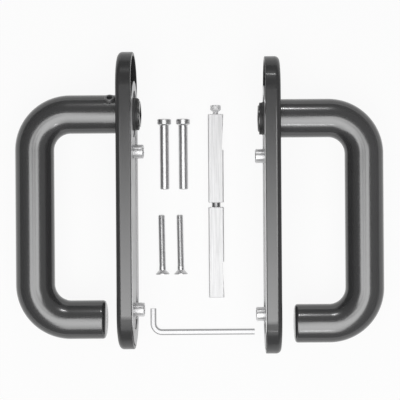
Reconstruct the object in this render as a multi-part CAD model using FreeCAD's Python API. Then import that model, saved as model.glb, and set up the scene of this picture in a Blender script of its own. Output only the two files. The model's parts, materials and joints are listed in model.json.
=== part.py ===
import FreeCAD, Part
import math
import os

# Fire door handle set: two lever handles on long plates, laid out with the parts that join them.
# Millimetres, +Z up from the table. The plates stand on one long edge and face away from each other.

# Cover: a moulded shell with round ends
plate_length = 170.0
plate_width = 42.0
cover_depth = 9.0
cover_rim_wall = 2.0
cover_front_wall = 2.0
cover_edge_radius = 2.8
cover_inner_radius = 1.2
rim_setback = 0.4
rim_edge_radius = 0.5
axis_below_top = 35.5
neck_hole_clearance = 0.25
collar_wall = 1.8
collar_clearance = 0.25
rib_offset = 15.0
rib_thickness = 1.4
rib_end_above_axis = 8.0
rib_end_margin = 15.5
grip_count = 3
grip_length = 9.0
grip_height = 1.6
grip_gap = 0.02
grip_first_drop = 12.0
grip_end_margin = 11.5

# Backing plate: steel sheet that lies on the door, pressed forwards where the bearing and the studs sit
steel_thickness = 2.0
steel_side_clearance = 0.2
steel_end_clearance = 0.5
channel_depth = 0.6
channel_half_width = 11.5
hub_depth = 1.2
hub_radius = 13.4
press_wall = 0.7

# Studs riveted to the backing plate
upper_stud_drop = 21.5
lower_stud_margin = 22.5
stud_diameter = 8.0
stud_reach = 5.6
stud_bore_diameter = 5.6
stud_chamfer = 0.45
stud_rivet_diameter = 7.0
stud_head_diameter = 10.4
stud_head_height = 1.0
stud_sink_diameter = 8.4
seat_gap = 0.02

# Lever: one round tube bent into a U with a return
tube_diameter = 22.0
lever_drop = 117.5
lever_reach = 48.35
bend_radius = 20.5
return_gap = 8.0
return_edge_radius = 1.8
neck_edge_radius = 0.6

# Bearing at the lever's neck
journal_diameter = 15.4
bearing_clearance = 0.05
bush_outer_diameter = 18.8
bush_flange_diameter = 26.0
bush_flange_thickness = 1.5
bush_proud = 2.1
axial_play = 0.05
washer_thickness = 0.5
ring_thickness = 1.0
ring_outer_diameter = 18.4
ring_opening = 5.0
groove_depth = 0.5
journal_end_land = 0.9
journal_chamfer = 0.5

# Square spindle and its socket in the neck
spindle_side = 9.0
socket_clearance = 0.05
socket_depth = 34.0
socket_turn = 45.0

# Set screw in the neck
set_screw_diameter = 6.0
set_screw_length = 7.0
set_screw_setback = 4.3
set_screw_proud = 1.4
set_screw_chamfer = 0.5
set_screw_point = 1.2
set_screw_socket_depth = 3.2
thread_gap = 0.02

# Key for the set screw
key_flats = 3.0
key_long_arm = 61.7
key_short_arm = 15.8
key_bend_radius = 5.2
key_clearance = 0.06

# Sleeve nuts and countersunk screws
sleeve_length = 41.5
sleeve_diameter = 5.44
sleeve_head_diameter = 8.2
sleeve_head_height = 3.0
sleeve_head_cone = 0.8
sleeve_bore_depth = 33.0
sleeve_chamfer = 0.4
thread_diameter = 4.0
thread_core_diameter = 3.3
slot_width = 1.2
slot_depth = 1.4
screw_length = 35.2
screw_head_diameter = 8.1
screw_head_rim = 0.4
screw_chamfer = 0.6
cross_width = 1.0
cross_length = 4.4
cross_floor_length = 2.2
cross_depth = 2.1

# Split spindle
spindle_upper_length = 51.8
spindle_lower_length = 53.0
spindle_gap = 2.6
spindle_corner = 0.6
spindle_end_chamfer = 0.3
ramp_length = 21.0
ramp_depth = 1.0
link_diameter = 5.0
link_seat_depth = 12.0
link_mouth_depth = 2.6
link_head_diameter = 6.4
link_head_length = 3.0
link_head_play = 0.4
link_clearance = 0.05
stub_seat_diameter = 4.0
stub_seat_depth = 8.0
stub_neck_diameter = 3.1
stub_neck_length = 1.1
stub_flare_length = 0.6
stub_cone_length = 1.2
stub_head_diameter = 6.2
stub_head_length = 2.6
stub_head_chamfer = 0.4

# Layout on the table, measured from its middle
back_to_back = 73.9
stagger = 3.0
sleeve_pitch = 11.1
sleeve_first_x = -21.1
sleeve_top_y = 49.4
screw_first_x = -22.6
screw_pitch = 10.8
screw_head_y = -42.2
screw_lean = 1.0
spindle_x = 9.25
spindle_joint_y = -1.35
key_corner_x = -30.2
key_corner_y = -78.4

# Values that follow from the sizes above
tube_radius = tube_diameter / 2
half_width = plate_width / 2
inner_half_width = half_width - cover_rim_wall
cover_top = axis_below_top
cover_bottom = axis_below_top - plate_length
cover_floor = cover_depth - cover_front_wall
lower_stud_drop = -cover_bottom - lower_stud_margin
grip_pitch = (-cover_bottom - half_width - grip_end_margin - grip_first_drop) / (grip_count - 1)
rib_bottom = cover_bottom + rib_end_margin
steel_half_width = inner_half_width - steel_side_clearance
steel_bottom = cover_bottom + cover_rim_wall + steel_end_clearance
channel_front = channel_depth + steel_thickness
hub_front = hub_depth + steel_thickness
bush_front = hub_front + bush_flange_thickness
bush_back = hub_depth - bush_proud
neck_start = bush_front + axial_play
washer_front = bush_back - axial_play
ring_front = washer_front - washer_thickness
ring_back = ring_front - ring_thickness
journal_end = ring_back - journal_end_land
journal_radius = journal_diameter / 2
groove_radius = journal_radius - groove_depth
socket_side = spindle_side + 2 * socket_clearance
grip_depth = cover_depth + lever_reach
across_corners = 1 / math.cos(math.pi / 6)


def vec(x, y, z=0.0):
    return FreeCAD.Vector(x, y, z)


def prism(points, direction):
    """Extrude a closed flat outline given by its corners."""
    return Part.Face(Part.makePolygon(points + [points[0]])).extrude(direction)


def turned(profile):
    """Revolve a half profile of (place along the axis, radius) about the X axis."""
    corners = [vec(a, r) for a, r in profile]
    face = Part.Face(Part.makePolygon(corners + [corners[0]]))
    return face.revolve(vec(0, 0), vec(1, 0), 360)


def rod(radius, start, end, y=0.0, z=0.0):
    """A round bar along X from start to end."""
    return Part.makeCylinder(radius, end - start, vec(start, y, z), vec(1, 0))


def stadium(half, top, bottom, start, end):
    """A slab with round ends that stands along Y, from start to end along X."""
    upper = top - half
    lower = bottom + half
    edges = [
        Part.LineSegment(vec(start, lower, half), vec(start, upper, half)).toShape(),
        Part.Arc(vec(start, upper, half), vec(start, top, 0), vec(start, upper, -half)).toShape(),
        Part.LineSegment(vec(start, upper, -half), vec(start, lower, -half)).toShape(),
        Part.Arc(vec(start, lower, -half), vec(start, bottom, 0), vec(start, lower, half)).toShape(),
    ]
    return Part.Face(Part.Wire(edges)).extrude(vec(end - start, 0))


def edges_in_plane(shape, x):
    """The edges of a shape that lie in the plane at x."""
    return [e for e in shape.Edges if all(abs(v.X - x) < 1e-4 for v in e.Vertexes)]


def hexagon_rod(flats, start, end):
    """A six-sided bar along X with two flats facing up and down."""
    radius = flats / 2 * across_corners
    corners = [vec(start, radius * math.cos(math.radians(60 * i)), radius * math.sin(math.radians(60 * i)))
               for i in range(6)]
    return prism(corners, vec(end - start, 0))


def cover():
    """The moulded shell with its inner ribs, its collar and the small grips that pinch the steel."""
    body = stadium(half_width, cover_top, cover_bottom, rim_setback, cover_depth)
    body = body.makeFillet(cover_edge_radius, edges_in_plane(body, cover_depth))
    body = body.makeFillet(rim_edge_radius, edges_in_plane(body, rim_setback))
    cavity = stadium(inner_half_width, cover_top - cover_rim_wall, cover_bottom + cover_rim_wall,
                     rim_setback, cover_floor)
    cavity = cavity.makeFillet(cover_inner_radius, edges_in_plane(cavity, cover_floor))
    shell = body.cut(cavity)

    hole_radius = tube_radius + neck_hole_clearance
    inside = [rod(hole_radius + collar_wall, bush_front + collar_clearance, cover_floor)]
    grip_reach = steel_side_clearance - grip_gap
    for side in (-1, 1):
        rib_middle = side * rib_offset
        inside.append(Part.makeBox(cover_floor - steel_thickness, rib_end_above_axis - rib_bottom,
                                   rib_thickness,
                                   vec(steel_thickness, rib_bottom, rib_middle - rib_thickness / 2)))
        wall = side * inner_half_width
        for number in range(grip_count):
            start = -grip_first_drop - number * grip_pitch - grip_length / 2
            ridge = [vec(rim_setback, start, wall), vec(rim_setback + grip_height, start, wall),
                     vec(rim_setback + grip_height / 2, start, wall - side * grip_reach)]
            inside.append(prism(ridge, vec(0, grip_length)))
    shell = shell.fuse(inside)
    return shell.cut(rod(hole_radius, rim_setback, cover_depth)).removeSplitter()


def pressed(margin, start, depth):
    """The long channel and the deeper round at the hub, from a start along X, grown by a margin."""
    half = channel_half_width + margin
    channel = stadium(half, 0, -lower_stud_drop - half, start, start + channel_depth)
    return channel.fuse(rod(hub_radius + margin, start, start + depth)).removeSplitter()


def backing_plate():
    """The steel sheet, pressed forwards along its middle, with its holes."""
    plate = stadium(steel_half_width, steel_half_width, steel_bottom, 0, steel_thickness)
    plate = plate.fuse(pressed(press_wall, steel_thickness, hub_depth)).removeSplitter()
    plate = plate.cut(pressed(0, 0, hub_depth))
    holes = [rod(bush_outer_diameter / 2 + seat_gap, 0, hub_front)]
    for drop in (upper_stud_drop, lower_stud_drop):
        holes.append(rod(stud_rivet_diameter / 2 + seat_gap, 0, channel_front, -drop))
    for hole in holes:
        plate = plate.cut(hole)
    return plate.removeSplitter()


def stud(drop):
    """A hollow stud, riveted over at the front of the sheet and sunk for the screw's head."""
    radius = stud_diameter / 2
    bore = stud_bore_diameter / 2
    tip = channel_depth - stud_reach
    head = channel_front + stud_head_height
    sink_radius = stud_sink_diameter / 2
    sink_start = head - (sink_radius - bore)
    body = turned([(tip, bore), (tip, radius - stud_chamfer), (tip + stud_chamfer, radius),
                   (channel_depth, radius), (channel_depth, stud_rivet_diameter / 2),
                   (channel_front, stud_rivet_diameter / 2), (channel_front, stud_head_diameter / 2),
                   (head, stud_head_diameter / 2 - stud_chamfer), (head, sink_radius), (sink_start, bore)])
    body.translate(vec(0, -drop))
    return body


def bearing_bush():
    """The flanged bush in the plate's hub hole, in which the neck turns."""
    bore = journal_radius + bearing_clearance
    barrel = bush_outer_diameter / 2
    flange = bush_flange_diameter / 2
    edge = journal_chamfer / 2
    return turned([(bush_back, bore), (bush_back, barrel - edge), (bush_back + edge, barrel),
                   (hub_front, barrel), (hub_front, flange), (bush_front - edge, flange),
                   (bush_front, flange - edge), (bush_front, bore)])


def thrust_washer():
    """The washer between the bush and the retaining ring."""
    bore = journal_radius + bearing_clearance
    return rod(ring_outer_diameter / 2, ring_front, washer_front).cut(rod(bore, ring_front, washer_front))


def retaining_ring():
    """The open ring in the neck's groove."""
    ring = rod(ring_outer_diameter / 2, ring_back, ring_front)
    ring = ring.cut(rod(groove_radius + seat_gap, ring_back, ring_front))
    opening = Part.makeBox(ring_thickness, ring_outer_diameter, ring_opening,
                           vec(ring_back, 0, -ring_opening / 2))
    return ring.cut(opening)


def along_set_screw(shape, height):
    """Turn a piece made along X onto the set screw's line, starting at a height from the neck's axis."""
    angle = math.radians(socket_turn)
    line = vec(0, math.sin(angle), -math.cos(angle))
    placed = shape.copy()
    placed.Placement = FreeCAD.Placement(vec(cover_depth + set_screw_setback, 0) + line * height,
                                         FreeCAD.Rotation(vec(1, 0), line))
    return placed


def set_screw():
    """The headless screw with a hexagon socket, standing a little out of the neck."""
    radius = set_screw_diameter / 2
    outer = tube_radius + set_screw_proud
    body = turned([(0, 0), (0, radius - set_screw_point), (set_screw_point, radius),
                   (set_screw_length - set_screw_chamfer, radius),
                   (set_screw_length, radius - set_screw_chamfer), (set_screw_length, 0)])
    body = body.cut(hexagon_rod(key_flats + 2 * key_clearance, set_screw_length - set_screw_socket_depth,
                                set_screw_length))
    return along_set_screw(body, outer - set_screw_length)


def lever():
    """The bent tube with its neck, journal, ring groove, square socket and set screw hole."""
    bend_start = grip_depth - bend_radius
    straight_top = -bend_radius
    straight_bottom = bend_radius - lever_drop
    quarter = bend_radius * math.cos(math.radians(45))
    top_middle = vec(bend_start + quarter, -bend_radius + quarter)
    bottom_middle = vec(bend_start + quarter, bend_radius - lever_drop - quarter)
    return_end = cover_depth + return_gap
    path = Part.Wire([
        Part.LineSegment(vec(neck_start, 0), vec(bend_start, 0)).toShape(),
        Part.Arc(vec(bend_start, 0), top_middle, vec(grip_depth, straight_top)).toShape(),
        Part.LineSegment(vec(grip_depth, straight_top), vec(grip_depth, straight_bottom)).toShape(),
        Part.Arc(vec(grip_depth, straight_bottom), bottom_middle, vec(bend_start, -lever_drop)).toShape(),
        Part.LineSegment(vec(bend_start, -lever_drop), vec(return_end, -lever_drop)).toShape(),
    ])
    section = Part.Wire(Part.makeCircle(tube_radius, vec(neck_start, 0), vec(1, 0)))
    tube = path.makePipeShell([section], True, True)
    tube = tube.makeFillet(return_edge_radius, edges_in_plane(tube, return_end))
    tube = tube.makeChamfer(neck_edge_radius, edges_in_plane(tube, neck_start))

    journal = turned([(journal_end, 0), (journal_end, journal_radius - journal_chamfer),
                      (journal_end + journal_chamfer, journal_radius),
                      (ring_back - seat_gap, journal_radius), (ring_back - seat_gap, groove_radius),
                      (ring_front + seat_gap, groove_radius), (ring_front + seat_gap, journal_radius),
                      (neck_start, journal_radius), (neck_start, 0)])
    half = socket_side / 2
    socket = Part.makeBox(socket_depth, socket_side, socket_side, vec(journal_end, -half, -half))
    socket.rotate(vec(0, 0), vec(1, 0), socket_turn)
    screw_hole = along_set_screw(rod(set_screw_diameter / 2 + thread_gap, 0, tube_radius), 0)
    return tube.fuse(journal).cut([socket, screw_hole]).removeSplitter()


def handle(side):
    """Place one handle. The left one is the right one turned half round about its height."""
    plate_middle = stagger / 2 * -side
    axis_y = plate_middle + plate_length / 2 - axis_below_top
    turn = 0 if side > 0 else 180
    place = FreeCAD.Placement(vec(side * back_to_back / 2, axis_y, half_width),
                              FreeCAD.Rotation(vec(0, 1), turn))
    pieces = {
        "cover": cover(),
        "backing_plate": backing_plate(),
        "bearing_bush": bearing_bush(),
        "upper_stud": stud(upper_stud_drop),
        "lower_stud": stud(lower_stud_drop),
        "lever": lever(),
        "thrust_washer": thrust_washer(),
        "retaining_ring": retaining_ring(),
        "set_screw": set_screw(),
    }
    for piece in pieces.values():
        piece.Placement = place.multiply(piece.Placement)
    return pieces


def lie_down(shape, x, y, towards_y, lean, tilt, head_edge, head_radius):
    """Lay a headed piece on the table, touching with its head's edge and its tip."""
    turn = math.radians(lean)
    flat = math.cos(tilt)
    direction = vec(math.sin(turn) * flat, towards_y * math.cos(turn) * flat, -math.sin(tilt))
    height = head_edge * math.sin(tilt) + head_radius * math.cos(tilt)
    shape.Placement = FreeCAD.Placement(vec(x, y, height), FreeCAD.Rotation(vec(1, 0), direction))
    return shape


def resting_tilt(head_radius, head_edge, tip_radius, tip_edge):
    """The angle at which a headed piece lies on a flat table."""
    return math.atan((head_radius - tip_radius) / (tip_edge - head_edge))


def sleeve_nut(x):
    """A slotted sleeve nut with a blind threaded bore."""
    head = sleeve_head_diameter / 2
    shank = sleeve_diameter / 2
    under = sleeve_head_height + sleeve_head_cone
    body = turned([(0, 0), (0, head - sleeve_chamfer), (sleeve_chamfer, head), (sleeve_head_height, head),
                   (under, shank), (sleeve_length - sleeve_chamfer, shank),
                   (sleeve_length, shank - sleeve_chamfer), (sleeve_length, 0)])
    bore = rod(thread_core_diameter / 2, sleeve_length - sleeve_bore_depth, sleeve_length)
    slot = Part.makeBox(slot_depth, slot_width, sleeve_head_diameter, vec(0, -slot_width / 2, -head))
    slot.rotate(vec(0, 0), vec(1, 0), socket_turn)
    body = body.cut([bore, slot])
    tilt = resting_tilt(head, sleeve_head_height, shank, sleeve_length - sleeve_chamfer)
    return lie_down(body, x, sleeve_top_y, -1, 0, tilt, sleeve_head_height, head)


def countersunk_screw(x):
    """A countersunk screw with a cross recess."""
    head = screw_head_diameter / 2
    shank = thread_diameter / 2
    neck = screw_head_rim + head - shank
    body = turned([(0, 0), (0, head), (screw_head_rim, head), (neck, shank),
                   (screw_length - screw_chamfer, shank), (screw_length, shank - screw_chamfer),
                   (screw_length, 0)])
    half = cross_length / 2
    floor = cross_floor_length / 2
    wing = prism([vec(0, -half, -cross_width / 2), vec(0, half, -cross_width / 2),
                  vec(cross_depth, floor, -cross_width / 2), vec(cross_depth, -floor, -cross_width / 2)],
                 vec(0, 0, cross_width))
    wings = []
    for turn in (socket_turn, socket_turn + 90):
        blade = wing.copy()
        blade.rotate(vec(0, 0), vec(1, 0), turn)
        wings.append(blade)
    body = body.cut(wings)
    tilt = resting_tilt(head, screw_head_rim, shank, screw_length - screw_chamfer)
    return lie_down(body, x, screw_head_y, 1, -screw_lean, tilt, screw_head_rim, head)


def square_bar(length, ramp_side):
    """A square bar along X with broken corners and a clamping ramp that runs out at its outer end."""
    half = spindle_side / 2
    corner = spindle_corner
    outline = [vec(0, half, half - corner), vec(0, half - corner, half), vec(0, corner - half, half),
               vec(0, -half, half - corner), vec(0, -half, corner - half), vec(0, corner - half, -half),
               vec(0, half - corner, -half), vec(0, half, corner - half)]
    bar = prism(outline, vec(length, 0))
    ends = edges_in_plane(bar, 0) + edges_in_plane(bar, length)
    bar = bar.makeChamfer(spindle_end_chamfer, ends)
    face = ramp_side * half
    ramp = prism([vec(0, face, -half), vec(ramp_length, face, -half),
                  vec(ramp_length, face - ramp_side * ramp_depth, -half)], vec(0, 0, spindle_side))
    return bar.cut(ramp)


def place_on_spindle(shape, y, towards_y):
    """Put a piece made along X on the spindle's line."""
    shape.Placement = FreeCAD.Placement(vec(spindle_x, y, spindle_side / 2),
                                        FreeCAD.Rotation(vec(0, 0, 1), 90 * towards_y))
    return shape


def spindle():
    """The two halves, the link on which they turn and the stub on the outer end."""
    upper_end = spindle_joint_y + spindle_gap / 2 + spindle_upper_length
    lower_end = spindle_joint_y - spindle_gap / 2 - spindle_lower_length
    link_radius = link_diameter / 2
    mouth_radius = link_radius + link_clearance
    chamber_radius = link_head_diameter / 2 + link_clearance
    chamber_length = link_head_length + link_head_play

    upper = square_bar(spindle_upper_length, 1)
    mouth_start = spindle_upper_length - link_mouth_depth
    upper = upper.cut([
        rod(stub_seat_diameter / 2 + seat_gap, 0, stub_seat_depth),
        rod(mouth_radius, mouth_start, spindle_upper_length),
        rod(chamber_radius, mouth_start - chamber_length, mouth_start)])

    lower = square_bar(spindle_lower_length, -1)
    seat_start = spindle_lower_length - link_seat_depth
    lower = lower.cut(rod(link_radius + seat_gap, seat_start, spindle_lower_length))

    link_neck_end = link_seat_depth + spindle_gap + link_mouth_depth + link_head_play / 2
    link_end = link_neck_end + link_head_length
    link = turned([(0, 0), (0, link_radius), (link_neck_end, link_radius),
                   (link_neck_end, link_head_diameter / 2), (link_end, link_head_diameter / 2),
                   (link_end, 0)])
    link_start = lower_end + spindle_lower_length - link_seat_depth

    seat = stub_seat_diameter / 2
    neck = stub_neck_diameter / 2
    head = stub_head_diameter / 2
    neck_from = stub_seat_depth + stub_flare_length
    cone_from = neck_from + stub_neck_length
    head_from = cone_from + stub_cone_length
    head_to = head_from + stub_head_length
    stub = turned([(0, 0), (0, seat), (stub_seat_depth, seat), (neck_from, neck), (cone_from, neck),
                   (head_from, head), (head_to - stub_head_chamfer, head),
                   (head_to, head - stub_head_chamfer), (head_to, 0)])
    return {
        "spindle_upper_half": place_on_spindle(upper, upper_end, -1),
        "spindle_lower_half": place_on_spindle(lower, lower_end, 1),
        "spindle_link": place_on_spindle(link, link_start, 1),
        "spindle_end_stub": place_on_spindle(stub, upper_end - stub_seat_depth, 1),
    }


def hex_key():
    """The bent six-sided key, lying on its side."""
    half_corner = key_flats / 2 * across_corners
    middle_x = key_corner_x + half_corner
    middle_y = key_corner_y + half_corner
    height = key_flats / 2
    top = key_corner_y + key_short_arm
    end = key_corner_x + key_long_arm
    bend = key_bend_radius
    quarter = bend * (1 - math.cos(math.radians(45)))
    path = Part.Wire([
        Part.LineSegment(vec(end, middle_y, height), vec(middle_x + bend, middle_y, height)).toShape(),
        Part.Arc(vec(middle_x + bend, middle_y, height), vec(middle_x + quarter, middle_y + quarter, height),
                 vec(middle_x, middle_y + bend, height)).toShape(),
        Part.LineSegment(vec(middle_x, middle_y + bend, height), vec(middle_x, top, height)).toShape(),
    ])
    corners = [vec(end, middle_y + half_corner * math.cos(math.radians(60 * i)),
                   height + half_corner * math.sin(math.radians(60 * i))) for i in range(6)]
    section = Part.makePolygon(corners + [corners[0]])
    return path.makePipeShell([section], True, True)


def build():
    """All pieces by name."""
    nodes = {}
    for name, side in (("left", -1), ("right", 1)):
        for piece, shape in handle(side).items():
            nodes[name + "_" + piece] = shape
    for number in (1, 2):
        nodes["sleeve_nut_%d" % number] = sleeve_nut(sleeve_first_x + (number - 1) * sleeve_pitch)
        nodes["countersunk_screw_%d" % number] = countersunk_screw(screw_first_x + (number - 1) * screw_pitch)
    nodes.update(spindle())
    nodes["hex_key"] = hex_key()
    return nodes


def main():
    os.makedirs("parts", exist_ok=True)
    for name, shape in build().items():
        shape.exportStep("parts/%s.step" % name)
        print("%-22s solids %d  volume %.1f" % (name, len(shape.Solids), shape.Volume))


main()
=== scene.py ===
"""Finishes, threads, studio and camera for a fire door handle set laid out on a table."""
import json
import math

import bmesh
import bpy
from bpy.props import FloatProperty, FloatVectorProperty, PointerProperty
from mathutils import Matrix, Vector


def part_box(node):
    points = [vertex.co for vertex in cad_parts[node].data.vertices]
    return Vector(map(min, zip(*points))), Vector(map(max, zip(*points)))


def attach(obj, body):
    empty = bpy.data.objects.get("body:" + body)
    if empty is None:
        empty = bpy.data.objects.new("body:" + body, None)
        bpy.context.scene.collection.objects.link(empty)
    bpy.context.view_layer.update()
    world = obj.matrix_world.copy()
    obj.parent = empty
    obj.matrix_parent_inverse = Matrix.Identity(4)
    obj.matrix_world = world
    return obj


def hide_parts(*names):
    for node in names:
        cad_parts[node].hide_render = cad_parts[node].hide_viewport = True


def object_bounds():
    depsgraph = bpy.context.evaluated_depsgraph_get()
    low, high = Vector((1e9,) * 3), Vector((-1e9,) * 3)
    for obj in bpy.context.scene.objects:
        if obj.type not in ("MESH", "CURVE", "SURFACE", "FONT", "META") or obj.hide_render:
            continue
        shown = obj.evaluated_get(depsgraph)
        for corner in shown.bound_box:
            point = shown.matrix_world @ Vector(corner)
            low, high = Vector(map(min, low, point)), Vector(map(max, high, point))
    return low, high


bl_info = {
    "name": "Fire door handle set",
    "version": (1, 0, 0),
    "blender": (4, 5, 0),
    "location": "View3D > Sidebar > Handle set",
    "description": "Finishes, threads, studio and camera for two lever handles and their fixings",
    "category": "Object",
}

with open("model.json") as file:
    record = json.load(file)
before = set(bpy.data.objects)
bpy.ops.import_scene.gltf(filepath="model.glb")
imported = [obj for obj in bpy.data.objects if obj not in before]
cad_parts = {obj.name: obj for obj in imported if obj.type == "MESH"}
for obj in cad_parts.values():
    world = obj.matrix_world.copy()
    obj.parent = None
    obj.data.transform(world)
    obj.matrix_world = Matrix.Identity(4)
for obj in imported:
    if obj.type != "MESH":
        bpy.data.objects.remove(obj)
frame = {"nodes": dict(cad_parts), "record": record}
cad_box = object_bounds()

MM = 0.001
SIDES = {"left": -1, "right": 1}
EXTENT = (cad_box[1] - cad_box[0]).length
WHITE = (1, 1, 1, 1)

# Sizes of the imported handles, from the door's middle and the lever's axis
DOOR_HALF = 36.95 * MM
AXIS_BELOW_TOP = 35.5 * MM
AXIS_HEIGHT = 21 * MM
LEVER_DROP = 117.5 * MM
GRIP_REACH = 57.35 * MM
RETURN_END = 17 * MM
TUBE_RADIUS = 11 * MM
TUBE_END_ROUNDING = 1.8 * MM
BEND_RADIUS = 20.5 * MM
BEND_POINTS = 48
NECK_CUT = 16.6 * MM

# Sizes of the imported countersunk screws, from the face of the head
SCREW_LENGTH = 35.2 * MM
SCREW_RADIUS = 2 * MM
SCREW_HEAD_RADIUS = 4.05 * MM
SCREW_HEAD_RIM = 0.4 * MM
SCREW_TIP_CHAMFER = 0.6 * MM
SCREW_TIP_RADIUS = 1.4 * MM
SCREW_LEAN = math.radians(-1)
SCREW_CUT = 4.6 * MM

# The thread, whose flank leaves flat crests and narrow roots
THREAD_START = 4.5 * MM
THREAD_PITCH = 0.7 * MM
THREAD_DEPTH = 0.26 * MM
THREAD_RUN_IN = 1.2 * MM
FLANK_SLOPE = 2.8
FLANK_OFFSET = -1.2

# Points of a mesh that are nearer than this are one, and lie on a plane that is nearer than that
WELD = 0.0005 * MM
THREAD_WELD = 0.002 * MM
ON_PLANE = 0.0001 * MM

# The weight of the plastics' satin skin towards the edges, where it is thinnest
THIN_SKIN = 0.1

# The floor under the set, and how much of it the camera sees as plain white
FLOOR_GAP = 0.02 * MM
FLOOR_SIZE = 12 * EXTENT
FLOOR_WHITENESS = 0.92

# Widths along the softbox, as shares of it: its seams, and the fall of its near part
SEAM_EDGES = (0.025, 0.055)
NEAR_FALL = (0.15, 0.6)
NEAR_BRIGHTNESS = 0.6
NEAR_STRIP_SHARE = 0.8

# The camera's place over the table, with the shift that brings the set into the middle
CAMERA_X = 16.25 * MM
CAMERA_Y = 1.42 * MM
CAMERA_TURN = math.radians(-0.4)
CAMERA_SHIFT = -0.07
SENSOR_WIDTH = 36


# Sizes and colours that a user would change

class LeverSettings(bpy.types.PropertyGroup):
    """The levers' and covers' black plastic."""

    colour: FloatVectorProperty(
        name="Plastic colour", description="Base colour of the moulded plastic", subtype="COLOR",
        size=3, min=0, max=1, default=(0.046, 0.046, 0.047))
    gloss: FloatProperty(
        name="Lever roughness", description="Roughness of the levers' plastic under its satin skin",
        subtype="FACTOR", min=0, max=1, default=0.12)
    cover_gloss: FloatProperty(
        name="Cover roughness", description="Roughness of the covers' plastic under its skin",
        subtype="FACTOR", min=0, max=1, default=0.3)
    grain: FloatProperty(
        name="Grain size", description="Size of the moulded grain", subtype="DISTANCE",
        unit="LENGTH", default=0.35 * MM)


class SteelSettings(bpy.types.PropertyGroup):
    """The plated, drawn and blackened steel."""

    zinc: FloatVectorProperty(
        name="Zinc colour", description="Base colour of the zinc plated sheet", subtype="COLOR",
        size=3, min=0, max=1, default=(0.35, 0.35, 0.353))
    drawn: FloatVectorProperty(
        name="Drawn steel colour", description="Base colour of the square spindle",
        subtype="COLOR", size=3, min=0, max=1, default=(0.84, 0.84, 0.845))
    bright: FloatVectorProperty(
        name="Bright steel colour", description="Base colour of nuts, screws and studs",
        subtype="COLOR", size=3, min=0, max=1, default=(0.62, 0.62, 0.625))
    link: FloatVectorProperty(
        name="Link steel colour", description="Base colour of the link between the spindle's halves",
        subtype="COLOR", size=3, min=0, max=1, default=(0.36, 0.36, 0.364))
    key: FloatVectorProperty(
        name="Key steel colour", description="Base colour of the hex key",
        subtype="COLOR", size=3, min=0, max=1, default=(0.36, 0.36, 0.364))
    black: FloatVectorProperty(
        name="Blackened steel colour", description="Base colour of the blackened small parts",
        subtype="COLOR", size=3, min=0, max=1, default=(0.2, 0.2, 0.202))


class StudioSettings(bpy.types.PropertyGroup):
    """The camera, the lamps and the floor."""

    camera_height: FloatProperty(
        name="Camera height", description="Height of the camera over the table",
        subtype="DISTANCE", unit="LENGTH", default=582 * MM)
    focal_length: FloatProperty(
        name="Focal length", description="Lens of the camera in millimetres", default=88.1)
    key_strength: FloatProperty(
        name="Softbox brightness", description="Radiance of the large softbox overhead", default=3.0)
    strip_strength: FloatProperty(
        name="Strip brightness", description="Radiance of the far strip, which the near one follows",
        default=26.0)
    ambient: FloatProperty(
        name="Room brightness", description="Brightness of the room round the table", default=0.16)
    slope: FloatProperty(
        name="Room slope", description="How much brighter the room is to the right, and darker to the left",
        default=0.07)


# Node trees

class Net:
    """Adds nodes to a node tree and feeds them constants or other nodes' outputs."""

    def __init__(self, tree):
        """Work in one tree."""
        self.tree = tree

    def feed(self, node, *values, **named):
        """Set a node's properties, which are lower case, and its inputs, in order or by name."""
        for label in filter(str.islower, named):
            setattr(node, label, named[label])
        fed = [(node.inputs[label.replace("_", " ")], value)
               for label, value in named.items() if not label.islower()]
        for socket, value in (*zip(node.inputs, values), *fed):
            if isinstance(value, bpy.types.NodeSocket):
                self.tree.links.new(value, socket)
            else:
                socket.default_value = value
        return node

    def node(self, kind, *values, **named):
        """Add a node and feed it."""
        return self.feed(self.tree.nodes.new(kind), *values, **named)

    def calc(self, operation, *values, clamp=False):
        """The result of one sum."""
        return self.node("ShaderNodeMath", *values, operation=operation, use_clamp=clamp).outputs[0]

    def vector(self, *values):
        """A vector from three numbers."""
        return self.node("ShaderNodeCombineXYZ", *values).outputs[0]

    def parts(self, vector):
        """The three numbers of a vector, by the names X, Y and Z."""
        return self.node("ShaderNodeSeparateXYZ", vector).outputs

    def ramp(self, value, span, result):
        """Map a value's span to a result's span, clamped."""
        ramp = self.node("ShaderNodeMapRange", Value=value, From_Min=span[0], From_Max=span[1],
                         To_Min=result[0], To_Max=result[1])
        return ramp.outputs["Result"]


def new_group(kind, name, inputs, outputs):
    """An empty node group with named sockets: its tree, what it is given, and its net."""
    tree = bpy.data.node_groups.new(name, kind)
    for in_out, sockets in (("INPUT", inputs), ("OUTPUT", outputs)):
        for label, value in sockets:
            tree.interface.new_socket(label, in_out=in_out, socket_type="NodeSocket" + value)
    return tree, tree.nodes.new("NodeGroupInput").outputs, Net(tree)


def floats(*labels):
    """Number sockets with the given names."""
    return [(label, "Float") for label in labels]


# Shared effects

def skin_group():
    """Uneven skin: large soft patches in roughness and tone, and a fine grain in height."""
    _, given, net = new_group(
        "ShaderNodeTree", "Uneven skin",
        floats("Patches per metre", "Grains per metre", "Roughness", "Roughness spread", "Tone spread"),
        floats("Roughness", "Tone", "Height"))
    place = net.node("ShaderNodeTexCoord").outputs["Object"]
    patches = net.node("ShaderNodeTexNoise", Vector=place, Scale=given["Patches per metre"],
                       Detail=3, Roughness=0.6)
    grain = net.node("ShaderNodeTexNoise", Vector=place, Scale=given["Grains per metre"],
                     Detail=2, Roughness=0.5)
    patch = net.calc("SUBTRACT", patches.outputs["Fac"], 0.5)
    net.node("NodeGroupOutput",
             Roughness=net.calc("MULTIPLY_ADD", patch, given["Roughness spread"], given["Roughness"]),
             Tone=net.calc("MULTIPLY_ADD", patch, given["Tone spread"], 1),
             Height=grain.outputs["Fac"])


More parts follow.
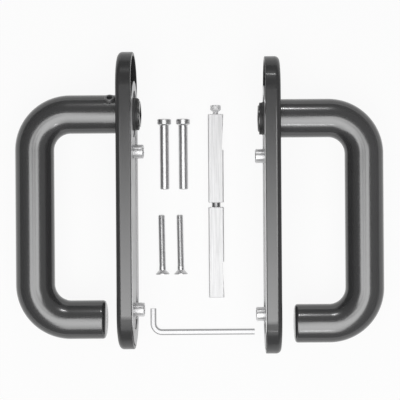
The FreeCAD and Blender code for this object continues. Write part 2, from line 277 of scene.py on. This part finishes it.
def marks_group():
    """Fine parallel tool marks that run along one direction."""
    _, given, net = new_group("ShaderNodeTree", "Tool marks",
                              floats("X per metre", "Y per metre", "Z per metre"),
                              floats("Height", "Streaks"))
    place = net.node("ShaderNodeTexCoord").outputs["Object"]
    stretch = net.vector(given["X per metre"], given["Y per metre"], given["Z per metre"])
    scaled = net.node("ShaderNodeVectorMath", place, stretch, operation="MULTIPLY").outputs[0]
    height = net.node("ShaderNodeTexNoise", Vector=scaled, Scale=1, Detail=2,
                      Roughness=0.6).outputs["Fac"]
    net.node("NodeGroupOutput", Height=height, Streaks=net.calc("SUBTRACT", height, 0.5))


def effect(net, name, **values):
    """The outputs of a shared effect in a material, with its own values."""
    return net.node("ShaderNodeGroup", node_tree=bpy.data.node_groups[name], **values).outputs


def tinted(net, colour, tone):
    """A colour scaled by a tone that wanders round one."""
    return net.node("ShaderNodeVectorMath", colour, operation="SCALE", Scale=tone).outputs[0]


def raised(net, height, distance, **under):
    """A normal raised by a height, over another normal if one is given."""
    return net.node("ShaderNodeBump", Height=height, Distance=distance, Strength=1,
                    **under).outputs["Normal"]


# Grown shapes

def shape_group(name, inputs):
    """An empty geometry tree that is given sizes and a material."""
    return new_group("GeometryNodeTree", name, [*inputs, ("Material", "Material")],
                     [("Geometry", "Geometry")])


def close_group(net, given, geometry):
    """End a geometry tree in Realize Instances and Set Material."""
    real = net.node("GeometryNodeRealizeInstances", Geometry=geometry).outputs[0]
    dressed = net.node("GeometryNodeSetMaterial", Geometry=real, Material=given["Material"])
    net.node("NodeGroupOutput", Geometry=dressed.outputs[0])


def thread_tree():
    """A threaded rod along X, from the thread's run-in to a chamfered tip, closed at both ends."""
    tree, given, net = shape_group("Threaded rod", [
        *floats("Length", "Radius", "Depth", "Pitch", "Tip radius", "Run in"),
        ("Rows per turn", "Int"), ("Sides", "Int")])
    turns = net.calc("DIVIDE", given["Length"], given["Pitch"])
    rows = net.calc("CEIL", net.calc("MULTIPLY", turns, given["Rows per turn"]))
    grid = net.node("GeometryNodeMeshGrid", Vertices_X=given["Sides"], Vertices_Y=rows,
                    Size_X=1, Size_Y=1)
    place = net.parts(net.node("GeometryNodeInputPosition").outputs[0])
    around = net.calc("ADD", place["X"], 0.5)
    along = net.calc("MULTIPLY", net.calc("ADD", place["Y"], 0.5), given["Length"])
    to_tip = net.calc("SUBTRACT", given["Length"], along)
    turned = net.calc("SUBTRACT", net.calc("DIVIDE", along, given["Pitch"]), around)
    valley = net.calc("ABSOLUTE", net.calc("MULTIPLY_ADD", net.calc("FRACT", turned), 2, -1))
    flank = net.calc("MULTIPLY_ADD", valley, FLANK_SLOPE, FLANK_OFFSET, clamp=True)
    grown = net.calc("DIVIDE", along, given["Run in"], clamp=True)
    cut = net.calc("MULTIPLY", net.calc("MULTIPLY", flank, given["Depth"]), grown)
    radius = net.calc("MINIMUM", net.calc("SUBTRACT", given["Radius"], cut),
                      net.calc("ADD", given["Tip radius"], to_tip))
    inside = net.calc("MULTIPLY", net.calc("GREATER_THAN", to_tip, WELD),
                      net.calc("GREATER_THAN", along, WELD))
    closed = net.calc("MULTIPLY", radius, inside)
    angle = net.calc("MULTIPLY", around, math.tau)
    spot = net.vector(along, net.calc("MULTIPLY", closed, net.calc("COSINE", angle)),
                      net.calc("MULTIPLY", closed, net.calc("SINE", angle)))
    rod = net.node("GeometryNodeSetPosition", Geometry=grid.outputs["Mesh"], Position=spot)
    welded = net.node("GeometryNodeMergeByDistance", Geometry=rod.outputs[0], Distance=THREAD_WELD)
    close_group(net, given, welded.outputs[0])
    return tree


def lever_tree():
    """The bent tube: a cornered path with rounded bends, swept by a circle that rounds its far end."""
    tree, given, net = shape_group("Bent lever", [
        *floats("Start", "Reach", "Drop", "End", "Tube radius", "Bend radius", "End rounding",
                "Ring spacing"),
        ("Sides", "Int")])
    line = net.node("GeometryNodeMeshLine", Count=4)
    index = net.node("GeometryNodeInputIndex").outputs[0]
    from_middle = net.calc("ABSOLUTE", net.calc("SUBTRACT", index, 1.5))
    inner = net.calc("COMPARE", from_middle, 0.5, 0.1)
    first = net.calc("LESS_THAN", index, 0.5)
    lower = net.calc("GREATER_THAN", index, 1.5)
    last = net.calc("GREATER_THAN", index, 2.5)
    ends = net.calc("ADD", net.calc("MULTIPLY", last, given["End"]),
                    net.calc("MULTIPLY", first, given["Start"]))
    x = net.calc("ADD", net.calc("MULTIPLY", inner, given["Reach"]), ends)
    y = net.calc("MULTIPLY", lower, net.calc("MULTIPLY", given["Drop"], -1))
    corners = net.node("GeometryNodeSetPosition", Geometry=line.outputs[0],
                       Position=net.vector(x, y, 0))
    path = net.node("GeometryNodeMeshToCurve", Mesh=corners.outputs[0])
    bent = net.node("GeometryNodeFilletCurve", mode="POLY", Curve=path.outputs[0],
                    Radius=given["Bend radius"], Count=BEND_POINTS)
    even = net.node("GeometryNodeResampleCurve", mode="LENGTH", Curve=bent.outputs[0],
                    Length=given["Ring spacing"]).outputs[0]
    whole = net.node("GeometryNodeCurveLength", Curve=even).outputs[0]
    walked = net.node("GeometryNodeSplineParameter").outputs["Length"]
    left = net.calc("SUBTRACT", whole, walked)
    share = net.calc("SUBTRACT", 1, net.calc("DIVIDE", left, given["End rounding"], clamp=True))
    cosine = net.calc("SQRT", net.calc("SUBTRACT", 1, net.calc("MULTIPLY", share, share)))
    drawn_in = net.calc("MULTIPLY", net.calc("SUBTRACT", 1, cosine), given["End rounding"])
    radius = net.calc("SUBTRACT", given["Tube radius"], drawn_in)
    sized = net.node("GeometryNodeSetCurveRadius", Curve=even, Radius=radius)
    ring = net.node("GeometryNodeCurvePrimitiveCircle", Resolution=given["Sides"], Radius=1)
    tube = net.node("GeometryNodeCurveToMesh", Curve=sized.outputs[0],
                    Profile_Curve=ring.outputs[0], Scale=radius, Fill_Caps=True)
    close_group(net, given, tube.outputs[0])
    return tree


def grown_mesh(tree, **values):
    """A plain mesh made by a geometry tree with the given inputs."""
    holder = bpy.data.objects.new("grower", bpy.data.meshes.new("grower"))
    bpy.context.scene.collection.objects.link(holder)
    modifier = holder.modifiers.new("grow", "NODES")
    modifier.node_group = tree
    for item in tree.interface.items_tree:
        if item.in_out == "INPUT":
            modifier[item.identifier] = values[item.name.replace(" ", "_")]
    graph = bpy.context.evaluated_depsgraph_get()
    mesh = bpy.data.meshes.new_from_object(holder.evaluated_get(graph))
    holder.modifiers.remove(modifier)
    bpy.data.objects.remove(holder)
    return mesh


def kept_part(node, place, length):
    """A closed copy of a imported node's mesh up to a length along the x of its frame."""
    outwards = place.to_3x3() @ Vector((1, 0, 0))
    copy = bmesh.new()
    copy.from_mesh(node.data)
    copy.transform(node.matrix_world)
    bmesh.ops.remove_doubles(copy, verts=copy.verts, dist=WELD)
    everything = copy.verts[:] + copy.edges[:] + copy.faces[:]
    cut = bmesh.ops.bisect_plane(copy, geom=everything, dist=ON_PLANE, plane_no=outwards,
                                 plane_co=place @ Vector((length, 0, 0)), clear_outer=True)
    rim = [item for item in cut["geom_cut"] if isinstance(item, bmesh.types.BMEdge)]
    bmesh.ops.triangle_fill(copy, edges=rim, use_beauty=True, normal=outwards)
    mesh = bpy.data.meshes.new(node.name + "_kept")
    copy.to_mesh(mesh)
    copy.free()
    if mesh.has_custom_normals:
        mesh.attributes.remove(mesh.attributes["custom_normal"])
    return mesh


def body_of(node):
    """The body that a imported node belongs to."""
    bodies = frame["record"]["behaviour"]["bodies"]
    return next(name for name, nodes in bodies.items() if node in nodes)


def stand_for(node, name, meshes, material, sharp_angle):
    """One object from several meshes in world coordinates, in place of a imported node."""
    whole = bmesh.new()
    for mesh in meshes:
        whole.from_mesh(mesh)
    bmesh.ops.recalc_face_normals(whole, faces=whole.faces)
    for face in whole.faces:
        face.smooth = True
        face.material_index = 0
    joined = bpy.data.meshes.new(name)
    whole.to_mesh(joined)
    whole.free()
    for mesh in meshes:
        bpy.data.meshes.remove(mesh)
    joined.materials.clear()
    joined.materials.append(material)
    joined.set_sharp_from_angle(angle=math.radians(sharp_angle))
    piece = bpy.data.objects.new(name, joined)
    bpy.context.scene.collection.objects.link(piece)
    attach(piece, body_of(node))
    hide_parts(node)


def handle_place(side):
    """The frame of one handle: x out from the door, y up from the lever's axis."""
    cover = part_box(side + "_cover")
    middle = (SIDES[side] * DOOR_HALF, cover[1].y - AXIS_BELOW_TOP, AXIS_HEIGHT)
    turn = Matrix.Rotation(0 if SIDES[side] > 0 else math.pi, 4, "Y")
    return Matrix.Translation(middle) @ turn


def build_levers(finishes):
    """Each lever: its packed neck with the journal and socket, and the bent tube by its rule."""
    tree = lever_tree()
    material = finishes["lever_nylon"]
    for side in SIDES:
        node = frame["nodes"][side + "_lever"]
        place = handle_place(side)
        neck = kept_part(node, place, NECK_CUT)
        tube = grown_mesh(tree, Start=NECK_CUT, Reach=GRIP_REACH, Drop=LEVER_DROP, End=RETURN_END,
                          Tube_radius=TUBE_RADIUS, Bend_radius=BEND_RADIUS,
                          End_rounding=TUBE_END_ROUNDING, Ring_spacing=0.45 * MM, Sides=64,
                          Material=material)
        tube.transform(place)
        stand_for(side + "_lever", side + "_lever_tube", [neck, tube], material, sharp_angle=35)


def screw_place(name):
    """The frame of one countersunk screw: x from the head's face to the tip, lying on the table."""
    tilt = math.atan((SCREW_HEAD_RADIUS - SCREW_RADIUS)
                     / (SCREW_LENGTH - SCREW_TIP_CHAMFER - SCREW_HEAD_RIM))
    along = Vector((math.sin(SCREW_LEAN) * math.cos(tilt), math.cos(SCREW_LEAN) * math.cos(tilt),
                    -math.sin(tilt)))
    turn = Vector((1, 0, 0)).rotation_difference(along).to_matrix().to_4x4()
    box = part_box(name)
    head_half = (SCREW_HEAD_RADIUS * math.cos(SCREW_LEAN)
                 + SCREW_HEAD_RIM * abs(math.sin(SCREW_LEAN)))
    head = (box[1].x - head_half, box[0].y + SCREW_HEAD_RADIUS * math.sin(tilt),
            SCREW_HEAD_RIM * math.sin(tilt) + SCREW_HEAD_RADIUS * math.cos(tilt))
    return Matrix.Translation(head) @ turn


def build_screws(finishes):
    """Each countersunk screw: its packed head and the thread by its rule."""
    tree = thread_tree()
    material = finishes["bright_steel"]
    for number in (1, 2):
        name = "countersunk_screw_%d" % number
        node = frame["nodes"][name]
        place = screw_place(name)
        neck = kept_part(node, place, SCREW_CUT)
        rod = grown_mesh(tree, Length=SCREW_LENGTH - THREAD_START, Radius=SCREW_RADIUS,
                         Depth=THREAD_DEPTH, Pitch=THREAD_PITCH, Tip_radius=SCREW_TIP_RADIUS,
                         Run_in=THREAD_RUN_IN, Rows_per_turn=12, Sides=33, Material=material)
        rod.transform(place @ Matrix.Translation((THREAD_START, 0, 0)))
        stand_for(name, name + "_threaded", [neck, rod], material, sharp_angle=40)


# Finishes

def new_material(name):
    """A material with its net and its shader."""
    material = bpy.data.materials.new(name)
    material.use_nodes = True
    tree = material.node_tree
    return material, Net(tree), tree.nodes["Principled BSDF"]


def moulded_plastic(name, colour, roughness, grain, depth, coat, satin, thinning, ior=1.5):
    """Moulded plastic with a faint grain, under a satin skin that is full where it is seen face on.

    The skin's weight falls from coat to THIN_SKIN over the span of facing values in thinning.
    """
    material, net, shader = new_material(name)
    skin = effect(net, "Uneven skin", Patches_per_metre=45, Grains_per_metre=1 / grain,
                  Roughness=roughness, Roughness_spread=0.05, Tone_spread=0.3)
    facing = net.node("ShaderNodeLayerWeight", Blend=0.5).outputs["Facing"]
    net.feed(shader, Base_Color=tinted(net, colour, skin["Tone"]), Roughness=skin["Roughness"],
             Normal=raised(net, skin["Height"], depth), IOR=ior,
             Coat_Weight=net.ramp(facing, thinning, (coat, THIN_SKIN)), Coat_IOR=2.0,
             Coat_Roughness=satin)
    return material


def plated_steel(name, colour, roughness, marks, depth, streaks=0.0, metal=1.0):
    """Plated steel with tool marks along one direction, given as marks per metre in X, Y and Z."""
    material, net, shader = new_material(name)
    skin = effect(net, "Uneven skin", Patches_per_metre=110, Grains_per_metre=3000,
                  Roughness=roughness, Roughness_spread=0.12, Tone_spread=0.16)
    lines = effect(net, "Tool marks", X_per_metre=marks[0], Y_per_metre=marks[1],
                   Z_per_metre=marks[2])
    tone = net.calc("MULTIPLY_ADD", lines["Streaks"], streaks, skin["Tone"])
    grain = raised(net, skin["Height"], depth / 2)
    net.feed(shader, Base_Color=tinted(net, colour, tone), Roughness=skin["Roughness"],
             Normal=raised(net, lines["Height"], depth, Normal=grain), Metallic=metal)
    return material


def make_finishes(levers, steel):
    """Every finish of the set, by the record's slot name."""
    skin_group()
    marks_group()
    along_x = (60, 3000, 3000)
    along_y = (1400, 45, 1400)
    across_x = (3500, 60, 60)
    across_y = (60, 3500, 60)
    cloudy = (300, 300, 300)
    return {
        "lever_nylon": moulded_plastic(
            "Satin black plastic", levers.colour, levers.gloss, levers.grain, depth=0.004 * MM,
            coat=0.88, satin=0.25, thinning=(0.15, 0.45)),
        "cover_nylon": moulded_plastic(
            "Black cover plastic", levers.colour, levers.cover_gloss, levers.grain,
            depth=0.002 * MM, coat=0.74, satin=0.09, thinning=(0.0125, 0.028), ior=1.35),
        "bush_nylon": moulded_plastic(
            "Bearing plastic", 1.5 * levers.colour, 0.62, levers.grain, depth=0.004 * MM,
            coat=0.1, satin=0.5, thinning=(0.15, 0.45)),
        "zinc_sheet": plated_steel(
            "Zinc plated sheet", steel.zinc, 0.32, cloudy, depth=0.002 * MM),
        "stud_steel": plated_steel(
            "Turned stud steel", 1.3 * steel.bright, 0.3, across_x, depth=0.001 * MM, metal=0.45),
        "bright_steel": plated_steel(
            "Bright plated steel", steel.bright, 0.3, across_y, depth=0.0006 * MM, metal=0.8),
        "spindle_steel": plated_steel(
            "Drawn spindle steel", steel.drawn, 0.62, along_y, depth=0.004 * MM, streaks=0.5,
            metal=0.6),
        "link_steel": plated_steel(
            "Turned link steel", steel.link, 0.4, across_y, depth=0.003 * MM),
        "key_steel": plated_steel(
            "Plated key steel", steel.key, 0.22, along_x, depth=0.002 * MM, metal=0.9),
        "spring_steel": plated_steel(
            "Blackened spring steel", 0.3 * steel.black, 0.5, cloudy, depth=0.002 * MM, metal=0.5),
        "black_steel": plated_steel(
            "Blackened screw steel", steel.black, 0.35, cloudy, depth=0.002 * MM, metal=0.6),
    }


def dress_nodes(finishes):
    """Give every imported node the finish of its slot."""
    for part in frame["record"]["subparts"]:
        node = frame["nodes"][part["node"]]
        node.data.materials.clear()
        node.data.materials.append(finishes[part["material_slot"]])


def slot_finishes():
    """The finishes in use, by slot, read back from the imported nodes."""
    return {part["material_slot"]: frame["nodes"][part["node"]].data.materials[0]
            for part in frame["record"]["subparts"]}


# Studio

def bare_net(holder):
    """The net of a material or a world without its standard nodes."""
    holder.use_nodes = True
    holder.node_tree.nodes.clear()
    return Net(holder.node_tree)


def pale_floor():
    """White to the camera and in reflections, with a faint soft shadow."""
    material = bpy.data.materials.new("Pale floor")
    net = bare_net(material)
    path = net.node("ShaderNodeLightPath").outputs
    paper = net.node("ShaderNodeBsdfDiffuse", Color=(0.8, 0.8, 0.8, 1)).outputs[0]
    white = net.node("ShaderNodeEmission").outputs[0]
    seen = net.node("ShaderNodeMixShader", FLOOR_WHITENESS, paper, white).outputs[0]
    mirrored = net.calc("MAXIMUM", path["Is Glossy Ray"], path["Is Transmission Ray"])
    looked_at = net.calc("MAXIMUM", path["Is Camera Ray"], mirrored)
    surface = net.node("ShaderNodeMixShader", looked_at, paper, seen).outputs[0]
    net.node("ShaderNodeOutputMaterial", Surface=surface)
    return material


def make_floor():
    """A large plain floor just under the set."""
    half = FLOOR_SIZE / 2
    height = cad_box[0].z - FLOOR_GAP
    corners = [(-half, -half, height), (half, -half, height), (half, half, height),
               (-half, half, height)]
    mesh = bpy.data.meshes.new("floor")
    mesh.from_pydata(corners, [], [(0, 1, 2, 3)])
    mesh.materials.append(pale_floor())
    floor = bpy.data.objects.new("floor", mesh)
    bpy.context.scene.collection.objects.link(floor)


def make_lamp(name, height, x_angles, y_angles, radiance):
    """An area lamp at a height that spans the given angles from straight up, seen from the table."""
    low_x, high_x = (height * math.tan(math.radians(angle)) for angle in x_angles)
    low_y, high_y = (height * math.tan(math.radians(angle)) for angle in y_angles)
    lamp = bpy.data.lights.new(name, "AREA")
    lamp.shape = "RECTANGLE"
    lamp.size = high_x - low_x
    lamp.size_y = high_y - low_y
    lamp.energy = radiance * lamp.size * lamp.size_y * math.pi
    holder = bpy.data.objects.new(name, lamp)
    holder.location = ((low_x + high_x) / 2, (low_y + high_y) / 2, height)
    bpy.context.scene.collection.objects.link(holder)
    holder.visible_camera = False
    return lamp


def shade_lamp(lamp, edge, middle, seam):
    """Shade a lamp of three panels by shares of its width and depth.

    Two seams, at one distance on both sides of the middle, darken towards the far edge, and the
    whole lamp is dimmer in its near part.
    """
    lamp.use_nodes = True
    net = Net(lamp.node_tree)
    place = net.parts(net.node("ShaderNodeNewGeometry").outputs["Parametric"])
    from_middle = net.calc("ABSOLUTE", net.calc("SUBTRACT", place["X"], middle))
    from_seam = net.calc("ABSOLUTE", net.calc("SUBTRACT", from_middle, seam))
    short_of_edge = net.ramp(place["Y"], (1 - edge, 1), (1, 0))
    beside_seam = net.ramp(from_seam, SEAM_EDGES, (0, 1))
    panels = net.calc("MAXIMUM", short_of_edge, beside_seam)
    falloff = net.ramp(place["Y"], NEAR_FALL, (NEAR_BRIGHTNESS, 1))
    net.feed(lamp.node_tree.nodes["Emission"], Strength=net.calc("MULTIPLY", panels, falloff))


def make_room(brightness, slope):
    """A dim room for the light, brighter to the right, white where the camera sees past the floor."""
    world = bpy.data.worlds.new("Room")
    bpy.context.scene.world = world
    net = bare_net(world)
    heading = net.parts(net.node("ShaderNodeTexCoord").outputs["Generated"])
    strength = net.ramp(heading["X"], (-1, 1), (brightness - slope, brightness + slope))
    light = net.node("ShaderNodeBackground", Color=WHITE, Strength=strength).outputs[0]
    seen = net.node("ShaderNodeBackground", Color=WHITE, Strength=1).outputs[0]
    looked_at = net.node("ShaderNodeLightPath").outputs["Is Camera Ray"]
    surface = net.node("ShaderNodeMixShader", looked_at, light, seen).outputs[0]
    net.node("ShaderNodeOutputWorld", Surface=surface)


def make_camera(height, focal_length):
    """A camera that looks straight down, a little right of the middle, framed by its shift."""
    data = bpy.data.cameras.new("Overhead camera")
    data.lens = focal_length
    data.sensor_width = SENSOR_WIDTH
    data.shift_x = CAMERA_SHIFT
    camera = bpy.data.objects.new("Overhead camera", data)
    camera.location = (CAMERA_X, CAMERA_Y, height)
    camera.rotation_euler = (0, 0, CAMERA_TURN)
    bpy.context.scene.collection.objects.link(camera)
    bpy.context.scene.camera = camera


# Steps

class HANDLESET_OT_finishes(bpy.types.Operator):
    """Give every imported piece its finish."""

    bl_idname = "handleset.finishes"
    bl_label = "Finishes"

    def execute(self, context):
        """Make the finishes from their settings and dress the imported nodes."""
        scene = context.scene
        dress_nodes(make_finishes(scene.handleset_levers, scene.handleset_steel))
        return {"FINISHED"}


class HANDLESET_OT_levers(bpy.types.Operator):
    """Build the bent levers."""

    bl_idname = "handleset.levers"
    bl_label = "Levers"

    def execute(self, context):
        """Put a lever in place of each packed one."""
        build_levers(slot_finishes())
        return {"FINISHED"}


class HANDLESET_OT_screws(bpy.types.Operator):
    """Build the threaded screws."""

    bl_idname = "handleset.screws"
    bl_label = "Screws"

    def execute(self, context):
        """Put a threaded screw in place of each packed one."""
        build_screws(slot_finishes())
        return {"FINISHED"}


class HANDLESET_OT_studio(bpy.types.Operator):
    """Build the floor, the lamps, the room and the camera."""

    bl_idname = "handleset.studio"
    bl_label = "Studio"

    def execute(self, context):
        """Set up the stage round the set."""
        studio = context.scene.handleset_studio
        context.scene.view_settings.view_transform = "Standard"
        make_floor()
        softbox = make_lamp("Softbox", height=0.95, x_angles=(-26.5, 26.5), y_angles=(-53, 8),
                            radiance=studio.key_strength)
        shade_lamp(softbox, edge=0.24, middle=0.469, seam=0.122)
        make_lamp("Strip", height=0.95, x_angles=(-8, 11), y_angles=(54, 57),
                  radiance=studio.strip_strength)
        make_lamp("Near strip", height=0.9, x_angles=(5, 13), y_angles=(-42, -40.5),
                  radiance=NEAR_STRIP_SHARE * studio.strip_strength)
        make_room(studio.ambient, studio.slope)
        make_camera(studio.camera_height, studio.focal_length)
        return {"FINISHED"}


class HANDLESET_PT_panel(bpy.types.Panel):
    """Lists the steps and their settings."""

    bl_label = "Handle set"
    bl_idname = "HANDLESET_PT_panel"
    bl_space_type = "VIEW_3D"
    bl_region_type = "UI"
    bl_category = "Handle set"

    def draw(self, context):
        """Show a button for each step, and then the settings."""
        layout = self.layout
        for operator in OPERATORS:
            layout.operator(operator.bl_idname)
        for group in SETTINGS:
            settings = getattr(context.scene, group)
            for name in settings.bl_rna.properties.keys():
                if name not in ("rna_type", "name"):
                    layout.prop(settings, name)


OPERATORS = (HANDLESET_OT_finishes, HANDLESET_OT_levers, HANDLESET_OT_screws, HANDLESET_OT_studio)
SETTINGS = {
    "handleset_levers": LeverSettings,
    "handleset_steel": SteelSettings,
    "handleset_studio": StudioSettings,
}


def register():
    """Register the classes and hang the settings on the scene."""
    for kind in (*SETTINGS.values(), *OPERATORS, HANDLESET_PT_panel):
        bpy.utils.register_class(kind)
    for name, kind in SETTINGS.items():
        setattr(bpy.types.Scene, name, PointerProperty(type=kind))


def unregister():
    """Take the settings and the classes away again."""
    for name in SETTINGS:
        delattr(bpy.types.Scene, name)
    for kind in (HANDLESET_PT_panel, *reversed(OPERATORS), *SETTINGS.values()):
        bpy.utils.unregister_class(kind)


def main():
    """Run every step in order."""
    register()
    for operator in OPERATORS:
        group, name = operator.bl_idname.split(".")
        getattr(getattr(bpy.ops, group), name)()


if __name__ == "__main__":
    main()
